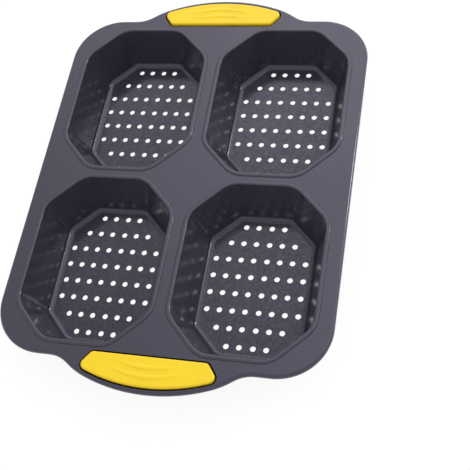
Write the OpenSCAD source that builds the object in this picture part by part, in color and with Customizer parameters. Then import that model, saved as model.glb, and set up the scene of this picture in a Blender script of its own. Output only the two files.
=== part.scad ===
// Hamburger bun pan: one pressed steel sheet with four perforated wells, and a silicone grip
// seated in each end tab. Millimetres, +Z up, the cook looks along +Y from the front tab.
// The origin is the middle of the pan, on the plane of the well floors' undersides.
// Slopes are given by their sines, with values whose cosines are short decimals too, so that
// every point where an arc meets a line is a round number.

/* [Sheet] */
// Thickness of the steel
sheet = 0.7; // [0.5:0.1:0.9]

/* [Wells] */
// Width of a well's mouth across the pan, between its wall lines at the flange
well_w = 84.5; // [70:0.5:110]
// Length of a well's mouth along the pan
well_l = 110.5; // [95:0.5:150]
// Depth of a well, from the flange to the top of the floor
well_depth = 28.08; // [15.12:0.24:36]
// Sine of the walls' lean from the vertical
draft_sine = 0.28; // [0.14:0.02:0.34]
// Radius between the floor and the walls
foot_r = 4; // [2:0.2:5]
// Plan radius of the corners round the flat floor
floor_corner_r = 3.5; // [1.5:0.1:6]
// Leg of the chamfers, between the centres of the corner radii
corner_cut = 13.4; // [8:0.1:20]
// Flange between neighbouring wells across the pan
web_x = 12.5; // [10:0.5:30]
// Flange between neighbouring wells along the pan
web_y = 9.2; // [9:0.1:30]

/* [Raised rim round each well] */
// Width of the rim from the wall line to its foot on the flange
rim_w = 3.1; // [2.8:0.1:4]
// Height of the rim above the flange
rim_h = 0.72; // [0.6:0.06:0.9]
// Radius where the rim rolls over into the wall
rim_mouth_r = 1.2; // [1:0.1:1.4]
// Radius of the rim's outer shoulder
rim_shoulder_r = 1.2; // [1:0.1:1.4]
// Sine of the slope between the rim's shoulder and its foot
rim_slope_sine = 0.8; // [0.6:0.02:0.86]

/* [Floor holes] */
// Diameter of the holes
hole_d = 3.5; // [2:0.1:4.5]
// Rows of holes along the well
hole_rows = 8; // [4:1:10]
// Holes in a full row
hole_row_full = 8; // [4:2:10]
// Holes in the first and last rows, which lose their corners to the chamfers
hole_row_end = 4; // [2:2:6]
// Wider gap between the two middle holes of a row
hole_middle = 8.5; // [5:0.1:12]
// Distance of the outer holes' centres from the edge of the flat floor, across the pan
hole_edge_x = 2.7; // [2.3:0.1:6]
// Distance of the outer holes' centres from the edge of the flat floor, along the pan
hole_edge_y = 3.9; // [2.3:0.1:8]

/* [Flange and rolled edge] */
// Flange from the outer wells to the pan's long edges
margin_side = 12.2; // [9:0.1:30]
// Flange from the outer wells to the pan's short edges
margin_end = 9.9; // [8:0.1:20]
// Radius of the pan's corners in plan
pan_corner_r = 32; // [20:1:40]
// Outer radius of the rolled edge
curl_r = 2; // [1.6:0.1:2.4]

/* [End tabs] */
// Reach of a tab beyond the short edge
tab_reach = 17.7; // [16:0.1:30]
// Sine of a tab's steepest slope
tab_slope_sine = 0.6; // [0.5:0.02:0.7]
// Radius of a tab's shoulders
tab_shoulder_r = 50; // [30:1:55]
// Radius of a tab's outer middle
tab_crown_r = 108; // [80:1:115]
// Sine of the slope where the outer middle ends
tab_crown_sine = 0.352; // [0.3:0.004:0.4]

/* [Grips and their seats] */
// Depth of the seat pressed into a tab
seat_depth = 1.2; // [0.9:0.05:1.6]
// Shadow gap between a grip and the wall of its seat
seat_gap = 0.7; // [0.5:0.05:1]
// Radius of the seat's upper edge
seat_edge_r = 0.6; // [0.3:0.05:0.8]
// Flat land between the seat's edge and the rolled edge
land_outer = 0.3; // [0.2:0.05:1.5]
// Flat land between the seat's edge and the wells' rims
land_inner = 1.3; // [0.5:0.1:4]
// Ledge under a grip's lips, from their edge to the slot
ledge = 2.3; // [1.5:0.1:2.6]
// Clearance between a grip's waist and the slot
slot_clear = 0.1; // [0.05:0.05:0.3]
// Clearance between a grip's lower lip and the free edge of the rolled edge
curl_clear = 0.4; // [0.2:0.1:0.8]
// Height of a grip above the flange
grip_proud = 1.6; // [0.8:0.1:3]
// Depth of a grip's underside below the flange
grip_below = 4.4; // [3.4:0.1:6]
// Radius of a grip's upper edge
grip_edge_r = 1.2; // [0.5:0.1:1.4]
// Radius of a grip's lower edge
grip_under_r = 0.8; // [0.3:0.1:1.2]
// Sine of the slope of a grip's ends from its straight inner edge
grip_end_sine = 0.8; // [0.7:0.02:0.96]
// Plan radius of a grip's outer corners
grip_outer_r = 3.5; // [2.8:0.1:5]
// Plan radius of a grip's inner corners
grip_inner_r = 3; // [2.8:0.1:5]

/* [Finger ridges on the grips] */
// Height of a ridge at its middle
ridge_h = 0.4; // [0.2:0.05:0.6]
// Radius of a ridge's section
ridge_r = 4; // [2:0.1:6]
// Plan radius of the ridges' curve
ridge_bow_r = 62; // [50:1:90]
// Middle of the outer ridge from the grip's outer edge
ridge_inset = 6; // [5:0.1:7]
// Distance between the ridges
ridge_pitch = 5.5; // [4:0.1:7]
// Length of the outer ridge
ridge_l_outer = 46; // [30:1:56]
// Length of the inner ridge
ridge_l_inner = 32; // [20:1:44]

/* [Hidden] */
$fn = 96;

steel = "#4d4b55";
silicone = "#f6d12c";

// Overlap of pieces that are built apart
lap = 0.5;
// How far a cutting shape passes the surface that it cuts
past = 1;
// How far a rim's foot stops short of the flange's underside
tuck = 0.05;
// How much wider a rim is along the chamfers than elsewhere
chamfer_ease = 0.02;
// How far the cells that bound a swept piece reach: outward, inward, and up or down
cell_out = 30;
cell_in = 2;
cell_tall = 50;
// Reach of the wedges that bound the bends: round, so that their corners are round numbers too
wedge_reach = 1000;

function cosine(sine) = sqrt(1 - sine * sine);
draft = asin(draft_sine);
tab_slope = asin(tab_slope_sine);
crown_turn = asin(tab_crown_sine);
end_slope = asin(grip_end_sine);
// A bend's tangent length is its radius times this
wall_turn = 90 - draft;
wall_tangent = (1 - draft_sine) / cosine(draft_sine);
lean = draft_sine / cosine(draft_sine);

// Height of the flange's top
flange_z = sheet + well_depth;
// From the wall line at the flange to the flat floor's edge, and the flat floor's size
wall_inset = well_depth * lean + foot_r * wall_tangent;
floor_w = well_w - 2 * wall_inset;
floor_l = well_l - 2 * wall_inset;
// Each corner of the octagon has one centre, from the floor up to the flange
centre_x = floor_w / 2 - floor_corner_r;
centre_y = floor_l / 2 - floor_corner_r;

// Rim's slope down to the flange, the flat left on its top, and the straight part of the wall
rim_turn = asin(rim_slope_sine);
rim_slope_run = (rim_h - rim_shoulder_r * (1 - cosine(rim_slope_sine))) / rim_slope_sine;
rim_slope_w = rim_shoulder_r * rim_slope_sine + rim_slope_run * cosine(rim_slope_sine);
rim_flat = rim_w - rim_slope_w - rim_mouth_r * wall_tangent - rim_h * lean;
wall_run = (well_depth + rim_h) / cosine(draft_sine) - (foot_r + rim_mouth_r) * wall_tangent;
// The undersides of a rim and of the flange meet this far inside the rim's foot
rim_mitre = sheet * (1 - cosine(rim_slope_sine)) / rim_slope_sine;
mouth_out = floor_corner_r + wall_inset + rim_w - rim_mitre;

pitch_x = well_w + web_x;
pitch_y = well_l + web_y;
well_places = [for (x = [-1, 1], y = [-1, 1]) [x * pitch_x / 2, y * pitch_y / 2, 0]];
pan_w = pitch_x + well_w + 2 * margin_side;
pan_l = pitch_y + well_l + 2 * margin_end;

// The hollow flare between a tab and the short edge takes up what the tab's arcs leave of its reach
crown_rise = tab_crown_r * (1 - cosine(tab_crown_sine));
shoulder_rise = tab_shoulder_r * (cosine(tab_crown_sine) - cosine(tab_slope_sine));
tab_flare_r = (tab_reach - crown_rise - shoulder_rise) / (1 - cosine(tab_slope_sine));
tab_half = tab_crown_r * tab_crown_sine + tab_shoulder_r * (tab_slope_sine - tab_crown_sine)
    + tab_flare_r * tab_slope_sine;

// A grip's outer edge has the bow of the tab's outer middle
grip_out_y = pan_l / 2 + tab_reach - curl_r - land_outer - seat_edge_r - seat_gap;
grip_in_y = (pitch_y + well_l) / 2 + rim_w + land_inner + seat_edge_r + seat_gap;
// A grip's lower lip is narrower than its upper one, to pass the rolled edge
under_in = max(0, 2 * curl_r + curl_clear - (pan_l / 2 + tab_reach - grip_out_y));
// Centres of a grip's outer and inner corner radii
crown_slope = [tab_crown_sine, cosine(tab_crown_sine)];
end_out = [grip_end_sine, -cosine(grip_end_sine)];
outer_c = [0, grip_out_y - tab_crown_r] + (tab_crown_r - grip_outer_r) * crown_slope;
inner_c_y = grip_in_y + grip_inner_r;
inner_c_x = (end_out * outer_c + grip_outer_r - grip_inner_r - end_out[1] * inner_c_y) / end_out[0];
end_run = -end_out[1] * (outer_c[0] - inner_c_x) + end_out[0] * (outer_c[1] - inner_c_y);

// An outline is a start [x, y, heading] and steps [run, radius, turn]: each step goes straight for
// its run, then bends by its turn, to the left where the turn is positive.
function ahead(at, run) = [at[0] + run * cos(at[2]), at[1] + run * sin(at[2]), at[2]];
function right_of(at, out) = [at[0] + out * sin(at[2]), at[1] - out * cos(at[2])];
function bend_centre(at, r, turn) = right_of(at, -sign(turn) * r);
function bent(at, r, turn) = concat(
    bend_centre(at, r, turn) + sign(turn) * r * [sin(at[2] + turn), -cos(at[2] + turn)],
    at[2] + turn
);
function after(at, step) = bent(ahead(at, step[0]), step[1], step[2]);
function stops(at, steps, i = 0) = i == len(steps) ? [] : concat([at], stops(after(at, steps[i]), steps, i + 1));
// The same outline moved outward, to the right of its heading
function moved(at, out) = concat(right_of(at, out), at[2]);
function grown(steps, out) = [for (s = steps) [s[0], s[1] + sign(s[2]) * out, s[2]]];

// Outlines, each counter-clockwise
centre_start = [centre_x, corner_cut - centre_y, 90];
centre_steps = [for (side = [centre_y, centre_x, centre_y, centre_x]) each [
    [2 * (side - corner_cut), 0, 45],
    [corner_cut * sqrt(2), 0, 45]
]];
pan_start = [pan_w / 2, 0, 90];
tab_steps = [
    [pan_w / 2 - pan_corner_r - tab_half, tab_flare_r, -tab_slope],
    [0, tab_shoulder_r, tab_slope - crown_turn],
    [0, tab_crown_r, 2 * crown_turn],
    [0, tab_shoulder_r, tab_slope - crown_turn],
    [0, tab_flare_r, -tab_slope],
    [pan_w / 2 - pan_corner_r - tab_half, pan_corner_r, 90]
];
pan_steps = concat(
    [[pan_l / 2 - pan_corner_r, pan_corner_r, 90]],
    tab_steps,
    [[pan_l - 2 * pan_corner_r, pan_corner_r, 90]],
    tab_steps,
    [[pan_l / 2 - pan_corner_r, 0, 0]]
);
grip_start = [0, grip_in_y, 0];
grip_steps = [
    [inner_c_x, grip_inner_r, end_slope],
    [end_run, grip_outer_r, 180 - crown_turn - end_slope],
    [0, tab_crown_r, 2 * crown_turn],
    [0, grip_outer_r, 180 - crown_turn - end_slope],
    [end_run, grip_inner_r, end_slope],
    [inner_c_x, 0, 0]
];

// Triangle with its point at the origin that holds a turn of under 120 degrees
module wedge(from, turn) {
    polygon([
        [0, 0],
        wedge_reach * [cos(from), sin(from)],
        wedge_reach * [cos(from + turn), sin(from + turn)]
    ]);
}

module pie(r, from, turn) {
    intersection() {
        circle(r);
        wedge(from, turn);
    }
}

// Direction from a bend's centre to where the bend starts
function bend_from(at, turn) = turn > 0 ? at[2] - 90 : at[2] + 90 + turn;

// Area inside an outline: the polygon of its chords, with what bulges past them added and hollows cut out
module area(start, steps) {
    at = stops(start, steps);
    last = len(steps) - 1;
    difference() {
        union() {
            polygon([for (i = [0:last], p = [at[i], ahead(at[i], steps[i][0])]) [p[0], p[1]]]);
            for (i = [0:last])
                if (steps[i][1] * steps[i][2] > 0)
                    area_bulge(ahead(at[i], steps[i][0]), steps[i][1], steps[i][2]);
        }
        for (i = [0:last])
            if (steps[i][2] < 0)
                area_hollow(ahead(at[i], steps[i][0]), steps[i][1], steps[i][2]);
    }
}

// The part of a bend's circle from just inside its chord
module area_bulge(at, r, turn) {
    translate(bend_centre(at, r, turn))
        intersection() {
            pie(r, bend_from(at, turn), turn);
            rotate(bend_from(at, turn) + turn / 2)
                translate([r * cos(turn / 2) - lap, -r])
                    square(2 * r);
        }
}

module area_hollow(at, r, turn) {
    translate(bend_centre(at, r, turn))
        pie(r, bend_from(at, turn), -turn);
}

module cell() {
    translate([0, 0, -cell_tall])
        linear_extrude(2 * cell_tall)
            children();
}

// Sweep of a section along an outline: the section's x is the distance outward, its y the height.
// Where two sections are given, the second is for the slanting runs.
module sweep(start, steps, places = [[0, 0, 0]]) {
    at = stops(start, steps);
    for (place = places, i = [0:len(steps) - 1]) {
        corner = ahead(at[i], steps[i][0]);
        if (steps[i][0] > 0)
            translate(place)
                swept_run(at[i], corner)
                    children(at[i][2] % 90 == 0 ? 0 : $children - 1);
        if (steps[i][2] != 0)
            translate(place)
                swept_bend(corner, steps[i][1], steps[i][2])
                    children(0);
    }
}

module swept_run(from, to) {
    out = [sin(from[2]), -cos(from[2])];
    a = [from[0], from[1]];
    b = [to[0], to[1]];
    intersection() {
        translate(b)
            rotate([90, 0, from[2] - 90])
                translate([0, 0, -past])
                    linear_extrude(norm(b - a) + 2 * past)
                        children();
        cell()
            polygon([a - cell_in * out, a, a + cell_out * out, b + cell_out * out, b, b - cell_in * out]);
    }
}

module swept_bend(at, r, turn) {
    intersection() {
        translate(bend_centre(at, r, turn))
            rotate_extrude()
                translate([r, 0])
                    mirror([turn < 0 ? 1 : 0, 0])
                        children();
        translate(bend_centre(at, r, turn))
            cell()
                wedge(bend_from(at, turn), abs(turn));
    }
}

// Section of bent sheet: its top runs along the steps, from the start [x, y, heading]
module sheet_section(start, steps) {
    at = stops(start, steps);
    for (i = [0:len(steps) - 1])
        translate([at[i][0], at[i][1]])
            rotate(at[i][2]) {
                if (steps[i][0] > 0)
                    translate([0, -sheet])
                        square([steps[i][0], sheet]);
                if (steps[i][2] != 0)
                    translate([steps[i][0], 0])
                        sheet_bend(steps[i][1], steps[i][2]);
            }
}

module sheet_bend(r, turn) {
    outer_r = turn > 0 ? r + sheet : r;
    translate([0, sign(turn) * r])
        difference() {
            pie(outer_r, turn > 0 ? -90 : 90 + turn, abs(turn));
            circle(outer_r - sheet);
        }
}

// The rim's slope runs on into the flange's thickness
module well_section(widening = 0) {
    sheet_section([0, 0, 0], [
        [floor_corner_r, foot_r, wall_turn],
        [wall_run, rim_mouth_r, -wall_turn],
        [rim_flat + widening, rim_shoulder_r, -rim_turn],
        [rim_slope_run + rim_mitre - tuck, 0, 0]
    ]);
}

module floor_holes() {
    step_x = (floor_w - 2 * hole_edge_x - hole_middle) / (hole_row_full - 2);
    step_y = (floor_l - 2 * hole_edge_y) / (hole_rows - 1);
    for (row = [0:hole_rows - 1]) {
        count = min(hole_row_full, hole_row_end + 2 * min(row, hole_rows - 1 - row));
        for (i = [0:count / 2 - 1], side = [-1, 1])
            translate([side * (hole_middle / 2 + i * step_x), (row - (hole_rows - 1) / 2) * step_y, -past])
                cylinder(h = sheet + 2 * past, d = hole_d, $fn = 24);
    }
}

module at_wells() {
    for (place = well_places)
        translate(place)
            children();
}

// Area inside a well's octagon, at a distance outward from the centres of its corners
module well_area(out) {
    area(moved(centre_start, out), grown(centre_steps, out));
}

module at_tabs() {
    children();
    rotate(180)
        children();
}

// Area of a grip's outline, moved outward
module grip_area(out) {
    area(moved(grip_start, out), grown(grip_steps, out));
}

module flange() {
    inset = curl_r + lap / 2;
    linear_extrude(sheet)
        difference() {
            area(moved(pan_start, -inset), grown(pan_steps, -inset));
            at_wells()
                well_area(mouth_out);
        }
}

module rolled_edge() {
    sweep(moved(pan_start, -curl_r), grown(pan_steps, -curl_r))
        sheet_section([-lap, 0, 0], [[lap, curl_r, -90], [0, curl_r, -90], [0, curl_r, -90]]);
}

// Underside of a seat, which stands below the flange
module seat_pan() {
    translate([0, 0, -seat_depth - sheet])
        linear_extrude(seat_depth + sheet / 2)
            grip_area(seat_gap + sheet);
}

module seat_cut() {
    translate([0, 0, -seat_depth])
        linear_extrude(seat_depth + past)
            grip_area(seat_gap);
    translate([0, 0, -seat_depth - sheet - past])
        linear_extrude(seat_depth + sheet + 2 * past)
            grip_area(-ledge);
    sweep(moved(grip_start, seat_gap), grown(grip_steps, seat_gap))
        difference() {
            translate([-past, -seat_edge_r])
                square([past + seat_edge_r, seat_edge_r + past]);
            translate([seat_edge_r, -seat_edge_r])
                circle(seat_edge_r);
        }
}

module pan() {
    color(steel)
        difference() {
            union() {
                at_wells()
                    linear_extrude(sheet)
                        well_area(0);
                translate([0, 0, sheet])
                    sweep(centre_start, centre_steps, well_places) {
                        well_section();
                        well_section(chamfer_ease);
                    }
                translate([0, 0, flange_z - sheet])
                    flange();
                translate([0, 0, flange_z]) {
                    rolled_edge();
                    at_tabs()
                        seat_pan();
                }
            }
            at_wells()
                floor_holes();
            translate([0, 0, flange_z])
                at_tabs()
                    seat_cut();
        }
}

// Cutter that rounds the upper outer edge of a lip that is narrower than the grip by an inset
module lip_round(r, inset) {
    sweep(moved(grip_start, -inset), grown(grip_steps, -inset))
        difference() {
            translate([-r, -r])
                square([r + past, r + past]);
            translate([-r, -r])
                circle(r);
        }
}

// A ring tilted so that it rises out of the grip's top only along the ridge's length
module ridge(inset, length) {
    bow_drop = ridge_bow_r - sqrt(ridge_bow_r ^ 2 - (length / 2) ^ 2);
    intersection() {
        translate([0, grip_out_y - inset, grip_proud + ridge_h - ridge_r])
            rotate([asin(ridge_h / bow_drop), 0, 0])
                translate([0, -ridge_bow_r, 0])
                    rotate_extrude()
                        translate([ridge_bow_r, 0])
                            circle(ridge_r);
        translate([-length / 2 - past, grip_out_y - inset - bow_drop - ridge_r, 0])
            cube([length + 2 * past, bow_drop + 2 * ridge_r, grip_proud + past]);
    }
}

// One grip as moulded, above the +Y tab, with the flange's top at z = 0
module grip() {
    difference() {
        union() {
            translate([0, 0, -seat_depth])
                linear_extrude(seat_depth + grip_proud)
                    grip_area(0);
            translate([0, 0, -seat_depth - sheet - past / 2])
                linear_extrude(sheet + past)
                    grip_area(-ledge - slot_clear);
            translate([0, 0, -grip_below])
                linear_extrude(grip_below - seat_depth - sheet)
                    grip_area(-under_in);
        }
        translate([0, 0, grip_proud])
            lip_round(grip_edge_r, 0);
        translate([0, 0, -grip_below])
            mirror([0, 0, 1])
                lip_round(grip_under_r, under_in);
    }
    ridge(ridge_inset, ridge_l_outer);
    ridge(ridge_inset + ridge_pitch, ridge_l_inner);
}

module front_grip() {
    color(silicone)
        translate([0, 0, flange_z])
            rotate(180)
                grip();
}

module rear_grip() {
    color(silicone)
        translate([0, 0, flange_z])
            grip();
}

pan();
front_grip();
rear_grip();
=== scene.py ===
from math import radians

import bpy
from mathutils import Matrix, Vector

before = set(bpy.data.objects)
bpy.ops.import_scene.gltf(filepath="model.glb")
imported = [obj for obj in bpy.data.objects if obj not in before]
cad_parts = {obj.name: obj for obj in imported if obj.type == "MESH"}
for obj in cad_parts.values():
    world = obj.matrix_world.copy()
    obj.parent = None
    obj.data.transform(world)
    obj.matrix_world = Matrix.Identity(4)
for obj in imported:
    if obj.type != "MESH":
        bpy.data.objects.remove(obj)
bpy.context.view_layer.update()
MM = 0.001

# Sizes of the part
FLANGE_TOP = 28.78 * MM
GRIP_BOW_R = 108.0 * MM
GRIP_BOW_CENTRE_Y = 31.1 * MM

# Heights between which the coat changes from that of the well floors to that of the walls
FLOOR_COAT_TOP = 0.8 * MM
WALL_COAT_BOTTOM = 1.2 * MM
# Heights between which shade is painted onto the foot of a rim
RIM_FOOT_BOTTOM = FLANGE_TOP + 0.02 * MM
RIM_FOOT_TOP = FLANGE_TOP + 0.27 * MM
# Area in which shadow is painted onto the seat of a grip: below a height, and inside a bow, an inner edge
# and two ends
SEAT_TOP = FLANGE_TOP - 0.06 * MM
SEAT_BOW_R = GRIP_BOW_R + 1.35 * MM
SEAT_INNER_Y = 119.0 * MM
SEAT_HALF_WIDTH = 43.5 * MM
# Upward part of a normal: more than the first on level faces, less than the second on undersides
LEVEL_FACE = 0.985
UNDERSIDE = -0.5

# Scales of the noise textures, in cycles per metre
COAT_GRAIN = 900.0
COAT_CLOUD = 26.0
FLOOR_FLECK = 700.0
SILICONE_SKIN = 1400.0
SILICONE_CLOUD = 60.0
STUDIO_FLOOR_CLOUD = 40.0

# Linear colours
STEEL_COLOUR = (0.0255, 0.024, 0.0355)
STEEL_SHEEN = (0.84, 0.82, 1.0, 1.0)
SILICONE_COLOUR = (0.69, 0.48, 0.0045)
FLOOR_COLOUR = (0.80, 0.80, 0.80)
FLOOR_SHADOW_COLOUR = (0.10, 0.10, 0.10, 1.0)
WHITE = (1.0, 1.0, 1.0, 1.0)

# Share of the coat's colour and gloss that is left under the painted shadow in a seat's gap and the painted
# shade at the foot of a rim
SEAT_GAP_PAINTED_SHADE = 0.04
RIM_FOOT_PAINTED_SHADE = 0.3
# Gloss of the coat and strength of its grain, on the well floors and elsewhere
FLOOR_GLOSS = 0.46
GLOSS = 0.60
FLOOR_GRIT = 0.35
GRIT = 0.08
BUMP_HEIGHT = 0.1 * MM

# Glow of the studio floor where the camera sees it, and where something glossy mirrors it
FLOOR_GLOW_SEEN = 0.9
FLOOR_GLOW_MIRRORED = 1.4
STUDIO_FLOOR_SIZE = 6.0
# Gap that keeps the studio floor out of the plane of the well floors
STUDIO_FLOOR_GAP = 0.05 * MM


# Shader nodes

def tree_of(owner):
    """Emptied node tree of a material or world."""
    owner.use_nodes = True
    tree = owner.node_tree
    tree.nodes.clear()
    return tree


def add(tree, kind, **values):
    """New node. A value is a setting of the node where it has one of that name, and else an input."""
    node = tree.nodes.new(kind)
    for name, value in values.items():
        if hasattr(node, name):
            setattr(node, name, value)
        else:
            node.inputs[name.replace("_", " ")].default_value = value
    return node


def noise(tree, coords, scale, detail=3.0):
    node = add(tree, "ShaderNodeTexNoise", Scale=scale, Detail=detail)
    tree.links.new(coords.outputs["Object"], node.inputs["Vector"])
    return node.outputs["Fac"]


def ramp(tree, source, low, high, at_low, at_high, interpolation="LINEAR"):
    """Maps a number between low and high to one between at_low and at_high."""
    node = add(tree, "ShaderNodeMapRange", interpolation_type=interpolation)
    node.inputs["From Min"].default_value = low
    node.inputs["From Max"].default_value = high
    node.inputs["To Min"].default_value = at_low
    node.inputs["To Max"].default_value = at_high
    tree.links.new(source, node.inputs["Value"])
    return node.outputs["Result"]


def varied(tree, texture, low, high):
    """Number between low and high that follows a noise texture."""
    return ramp(tree, texture, 0.3, 0.7, low, high)


def switch(tree, source, when_off, when_on):
    """One of two numbers, chosen by a source that is 0 or 1, or a blend of them in between."""
    return ramp(tree, source, 0.0, 1.0, when_off, when_on)


def calculate(tree, operation, source, value=0.0):
    """One source and, for most operations, a constant."""
    node = add(tree, "ShaderNodeMath", operation=operation)
    tree.links.new(source, node.inputs[0])
    node.inputs[1].default_value = value
    return node.outputs["Value"]


def combine(tree, operation, first, *others):
    """Sum, product or largest of several sources."""
    result = first
    for other in others:
        node = add(tree, "ShaderNodeMath", operation=operation)
        tree.links.new(result, node.inputs[0])
        tree.links.new(other, node.inputs[1])
        result = node.outputs["Value"]
    return result


def tinted(tree, colour, source):
    """A constant colour times a source."""
    node = add(tree, "ShaderNodeVectorMath", operation="SCALE")
    node.inputs[0].default_value = colour
    tree.links.new(source, node.inputs["Scale"])
    return node.outputs["Vector"]


def bumped(tree, texture, **values):
    node = add(tree, "ShaderNodeBump", Distance=BUMP_HEIGHT, **values)
    tree.links.new(texture, node.inputs["Height"])
    return node


def surface(tree, shader):
    out = add(tree, "ShaderNodeOutputMaterial")
    tree.links.new(shader, out.inputs["Surface"])


# Materials

def painted_shadow_in_seat_gap(tree, place, upright):
    """1 in the gap round a grip, where shadow is painted into the coat's colour and gloss, 0 elsewhere."""
    away = calculate(tree, "ABSOLUTE", place.outputs["Y"])
    aside = calculate(tree, "ABSOLUTE", place.outputs["X"])
    bow = add(tree, "ShaderNodeCombineXYZ")
    tree.links.new(place.outputs["X"], bow.inputs["X"])
    tree.links.new(calculate(tree, "SUBTRACT", away, GRIP_BOW_CENTRE_Y), bow.inputs["Y"])
    reach = add(tree, "ShaderNodeVectorMath", operation="LENGTH")
    tree.links.new(bow.outputs["Vector"], reach.inputs[0])
    return combine(
        tree,
        "MULTIPLY",
        calculate(tree, "LESS_THAN", reach.outputs["Value"], SEAT_BOW_R),
        calculate(tree, "GREATER_THAN", away, SEAT_INNER_Y),
        calculate(tree, "LESS_THAN", aside, SEAT_HALF_WIDTH),
        calculate(tree, "LESS_THAN", place.outputs["Z"], SEAT_TOP),
        calculate(tree, "GREATER_THAN", upright, UNDERSIDE),
    )


def painted_shade_at_rim_foot(tree, place, upright):
    """1 where a rim rises from the flange, where a line of shade is painted into the coat's colour and
    gloss, 0 elsewhere.
    """
    return combine(
        tree,
        "MULTIPLY",
        calculate(tree, "GREATER_THAN", place.outputs["Z"], RIM_FOOT_BOTTOM),
        calculate(tree, "LESS_THAN", place.outputs["Z"], RIM_FOOT_TOP),
        calculate(tree, "LESS_THAN", upright, LEVEL_FACE),
    )


def coat_roughness(tree, coords, normal):
    """Satin with soft clouds, rougher on walls and undersides, but hardly so where these face +X."""
    satin = varied(tree, noise(tree, coords, COAT_CLOUD), 0.12, 0.15)
    wall = ramp(tree, normal.outputs["Z"], 0.5, 0.9, 1.0, 0.0)
    brushed = ramp(tree, normal.outputs["X"], 0.2, 0.5, 0.13, 0.035)
    return combine(tree, "ADD", satin, combine(tree, "MULTIPLY", wall, brushed))


def floor_flecks(tree, coords, on_floor):
    """Varies around 1 on the well floors, 1 elsewhere."""
    flecks = ramp(tree, noise(tree, coords, FLOOR_FLECK, 4.0), 0.35, 0.65, -0.28, 0.28)
    node = add(tree, "ShaderNodeMath", operation="MULTIPLY_ADD")
    tree.links.new(flecks, node.inputs[0])
    tree.links.new(on_floor, node.inputs[1])
    node.inputs[2].default_value = 1.0
    return node.outputs["Value"]


def coated_steel():
    """Dark blue-grey non-stick coat with a fine grain, which is coarser on the well floors, and with
    painted shade in the gaps round the grips and at the feet of the rims.
    """
    material = bpy.data.materials.new("coated_steel")
    tree = tree_of(material)
    coords = add(tree, "ShaderNodeTexCoord")
    place = add(tree, "ShaderNodeSeparateXYZ")
    tree.links.new(coords.outputs["Object"], place.inputs["Vector"])
    geometry = add(tree, "ShaderNodeNewGeometry")
    normal = add(tree, "ShaderNodeSeparateXYZ")
    tree.links.new(geometry.outputs["Normal"], normal.inputs["Vector"])
    upright = normal.outputs["Z"]

    on_floor = ramp(tree, place.outputs["Z"], FLOOR_COAT_TOP, WALL_COAT_BOTTOM, 1.0, 0.0)
    # Painted shadow: the coat is darkened and loses its gloss in the gap round each grip
    painted_gap_shade = switch(tree, painted_shadow_in_seat_gap(tree, place, upright), 1.0, SEAT_GAP_PAINTED_SHADE)
    # Painted shade: a dark line on the coat where each rim rises from the flange
    painted_foot_shade = switch(tree, painted_shade_at_rim_foot(tree, place, upright), 1.0, RIM_FOOT_PAINTED_SHADE)
    grain = noise(tree, coords, COAT_GRAIN)
    # Colour and gloss: real grain and floor flecks, times the painted shadow in the seat gaps and the
    # painted shade at the rim feet
    grain_and_painted_shade = combine(tree, "MULTIPLY", varied(tree, grain, 0.82, 1.18), painted_gap_shade, painted_foot_shade)
    gloss = switch(tree, on_floor, GLOSS, FLOOR_GLOSS)
    gloss_and_painted_shade = combine(tree, "MULTIPLY", gloss, painted_gap_shade, painted_foot_shade, floor_flecks(tree, coords, on_floor))
    bump = bumped(tree, grain)
    tree.links.new(switch(tree, on_floor, GRIT, FLOOR_GRIT), bump.inputs["Strength"])

    shader = add(tree, "ShaderNodeBsdfPrincipled", IOR=1.5, Specular_Tint=STEEL_SHEEN)
    tree.links.new(gloss_and_painted_shade, shader.inputs["Specular IOR Level"])
    tree.links.new(tinted(tree, STEEL_COLOUR, grain_and_painted_shade), shader.inputs["Base Color"])
    tree.links.new(coat_roughness(tree, coords, normal), shader.inputs["Roughness"])
    tree.links.new(bump.outputs["Normal"], shader.inputs["Normal"])
    surface(tree, shader.outputs["BSDF"])
    return material


def yellow_silicone():
    """Matt yellow silicone with a very fine skin texture."""
    material = bpy.data.materials.new("silicone")
    tree = tree_of(material)
    coords = add(tree, "ShaderNodeTexCoord")
    shade = varied(tree, noise(tree, coords, SILICONE_CLOUD), 0.97, 1.03)
    bump = bumped(tree, noise(tree, coords, SILICONE_SKIN, 2.0), Strength=0.08)
    shader = add(tree, "ShaderNodeBsdfPrincipled", Roughness=0.32, Specular_IOR_Level=0.35)
    tree.links.new(tinted(tree, SILICONE_COLOUR, shade), shader.inputs["Base Color"])
    tree.links.new(bump.outputs["Normal"], shader.inputs["Normal"])
    surface(tree, shader.outputs["BSDF"])
    return material


def floor_material():
    """White for the camera and in reflections, with a faint shadow, and a pale diffuse floor otherwise."""
    material = bpy.data.materials.new("studio_floor")
    tree = tree_of(material)
    coords = add(tree, "ShaderNodeTexCoord")
    shade = varied(tree, noise(tree, coords, STUDIO_FLOOR_CLOUD), 0.995, 1.0)
    lit = add(tree, "ShaderNodeBsdfDiffuse")
    tree.links.new(tinted(tree, FLOOR_COLOUR, shade), lit.inputs["Color"])

    path = add(tree, "ShaderNodeLightPath")
    mirrored = path.outputs["Is Glossy Ray"]
    faint = add(tree, "ShaderNodeBsdfDiffuse", Color=FLOOR_SHADOW_COLOUR)
    glow = add(tree, "ShaderNodeEmission", Color=WHITE)
    tree.links.new(switch(tree, mirrored, FLOOR_GLOW_SEEN, FLOOR_GLOW_MIRRORED), glow.inputs["Strength"])
    seen = add(tree, "ShaderNodeAddShader")
    tree.links.new(faint.outputs["BSDF"], seen.inputs[0])
    tree.links.new(glow.outputs["Emission"], seen.inputs[1])

    choice = add(tree, "ShaderNodeMixShader")
    tree.links.new(combine(tree, "MAXIMUM", path.outputs["Is Camera Ray"], mirrored), choice.inputs["Fac"])
    tree.links.new(lit.outputs["BSDF"], choice.inputs[1])
    tree.links.new(seen.outputs["Shader"], choice.inputs[2])
    surface(tree, choice.outputs["Shader"])
    return material


def dress(node, material):
    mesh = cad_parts[node].data
    mesh.materials.clear()
    mesh.materials.append(material)


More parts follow.
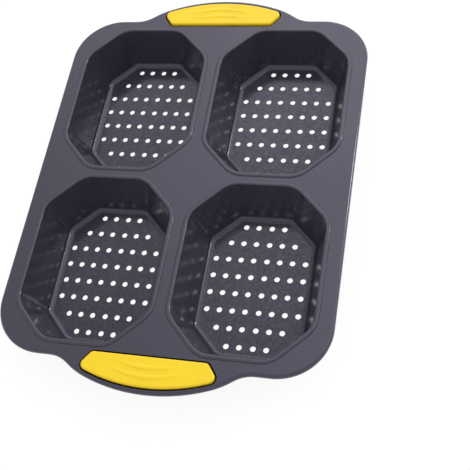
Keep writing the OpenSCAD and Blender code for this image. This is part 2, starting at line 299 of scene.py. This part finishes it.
# Floor and light

def plane(name, size, z):
    """Level square, centred on the origin."""
    half = size / 2
    mesh = bpy.data.meshes.new(name)
    corners = [(-half, -half, z), (half, -half, z), (half, half, z), (-half, half, z)]
    mesh.from_pydata(corners, [], [(0, 1, 2, 3)])
    mesh.update()
    piece = bpy.data.objects.new(name, mesh)
    bpy.context.scene.collection.objects.link(piece)
    return piece


def softbox(name, place, width, height, watts):
    """Rectangular area light, turned towards the origin."""
    light = bpy.data.lights.new(name, "AREA")
    light.shape = "RECTANGLE"
    light.size = width
    light.size_y = height
    light.energy = watts
    lamp = bpy.data.objects.new(name, light)
    lamp.location = place
    lamp.rotation_euler = (-Vector(place)).to_track_quat("-Z", "Y").to_euler()
    bpy.context.scene.collection.objects.link(lamp)


def studio_world(towards, low, high):
    """White surroundings that grow brighter towards one direction, as beside a large window."""
    world = bpy.data.worlds.new("studio")
    bpy.context.scene.world = world
    tree = tree_of(world)
    coords = add(tree, "ShaderNodeTexCoord")
    facing = add(tree, "ShaderNodeVectorMath", operation="DOT_PRODUCT")
    facing.inputs[1].default_value = Vector(towards).normalized()
    tree.links.new(coords.outputs["Generated"], facing.inputs[0])
    strength = ramp(tree, facing.outputs["Value"], 0.55, 0.8, low, high, "SMOOTHSTEP")
    sky = add(tree, "ShaderNodeBackground", Color=WHITE)
    tree.links.new(strength, sky.inputs["Strength"])
    out = add(tree, "ShaderNodeOutputWorld")
    tree.links.new(sky.outputs["Background"], out.inputs["Surface"])


# Camera

def camera(place, target, roll, lens, shift):
    """Camera at a place, aimed at a target, then turned about its own axis."""
    data = bpy.data.cameras.new("camera")
    data.sensor_width = 36.0
    data.lens = lens
    data.shift_x, data.shift_y = shift
    data.clip_start = 0.01
    data.clip_end = 20.0
    shown = bpy.data.objects.new("camera", data)
    aim = (Vector(target) - Vector(place)).to_track_quat("-Z", "Y")
    turned = aim.to_matrix().to_4x4() @ Matrix.Rotation(radians(roll), 4, "Z")
    shown.matrix_world = Matrix.Translation(Vector(place)) @ turned
    bpy.context.scene.collection.objects.link(shown)
    bpy.context.scene.camera = shown


silicone = yellow_silicone()
dress("pan", coated_steel())
dress("front_grip", silicone)
dress("rear_grip", silicone)

floor = plane("studio_floor", STUDIO_FLOOR_SIZE, -STUDIO_FLOOR_GAP)
floor.data.materials.append(floor_material())

softbox("overhead", place=(0.1, 1.0, 1.1), width=0.9, height=0.6, watts=0.8)
softbox("side", place=(0.9, 0.55, 0.55), width=0.16, height=0.16, watts=2.2)
studio_world(towards=(0.35, 0.75, 0.55), low=1.0, high=1.95)

camera(
    place=(164.69 * MM, -271.16 * MM, 501.79 * MM),
    target=(9.5 * MM, -28.97 * MM, FLANGE_TOP),
    roll=-25.217,
    lens=68.985,
    shift=(0.0868, -0.0381),
)
bpy.context.scene.view_settings.view_transform = "Standard"
